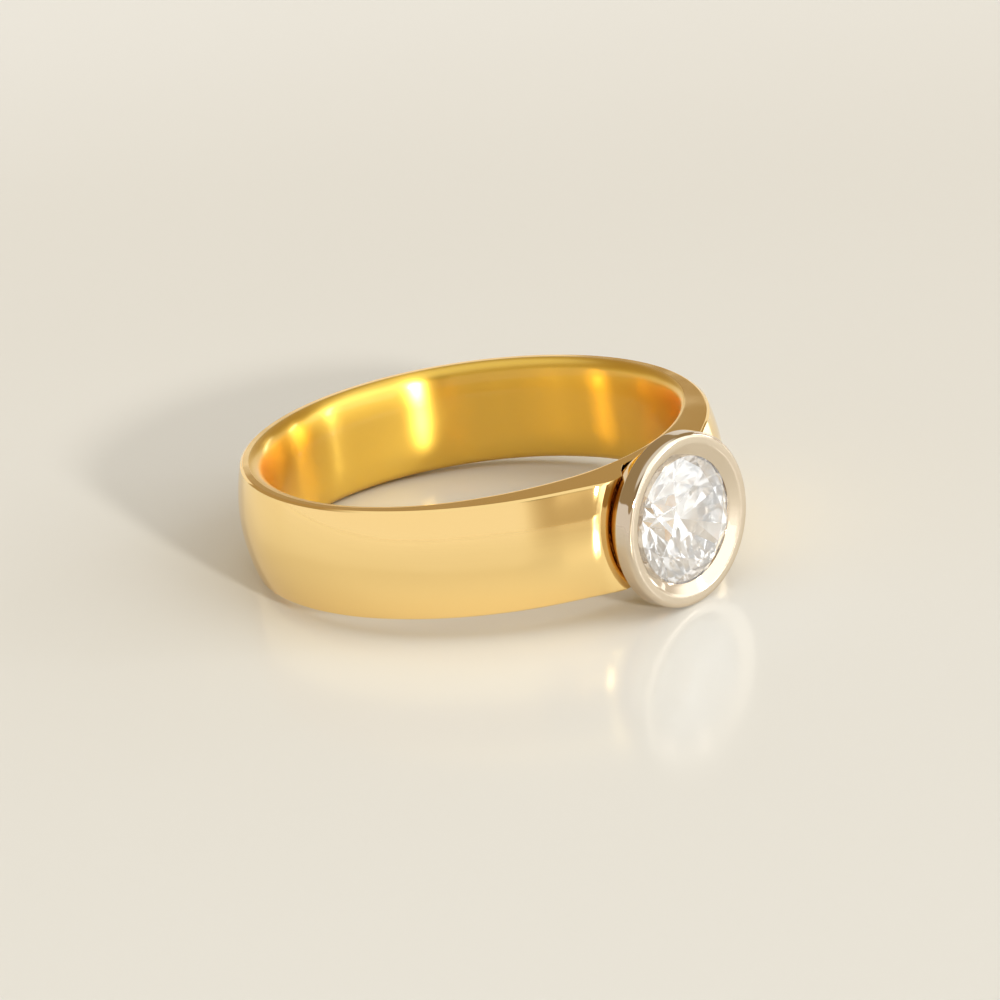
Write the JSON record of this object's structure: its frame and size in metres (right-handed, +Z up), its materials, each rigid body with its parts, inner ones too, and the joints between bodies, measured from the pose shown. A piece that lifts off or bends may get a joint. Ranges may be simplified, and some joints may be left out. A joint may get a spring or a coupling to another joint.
{
  "type": "solitaire ring",
  "caption": "Finger ring with a wide polished gold band whose shoulders rise to a white gold bezel cup holding a round brilliant diamond, shown lying on its side.",
  "frame": {"origin": "middle of the ring's bounding box, on the surface that the ring lies on", "axes": "+X towards the stone, +Z up from the surface; the finger hole's axis leans 3.4 degrees from +Z, away from the stone, because the bezel's rim is wider than the band and props up the head"},
  "size_m": [0.0218, 0.0198, 0.0069],
  "materials": {
    "yellow_gold": "high polish",
    "white_gold": "high polish",
    "diamond": "cut and polished facets"
  },
  "bodies": {
    "root": {"band": "yellow_gold", "bezel": "white_gold", "diamond": "diamond"}
  },
  "joints": []
}
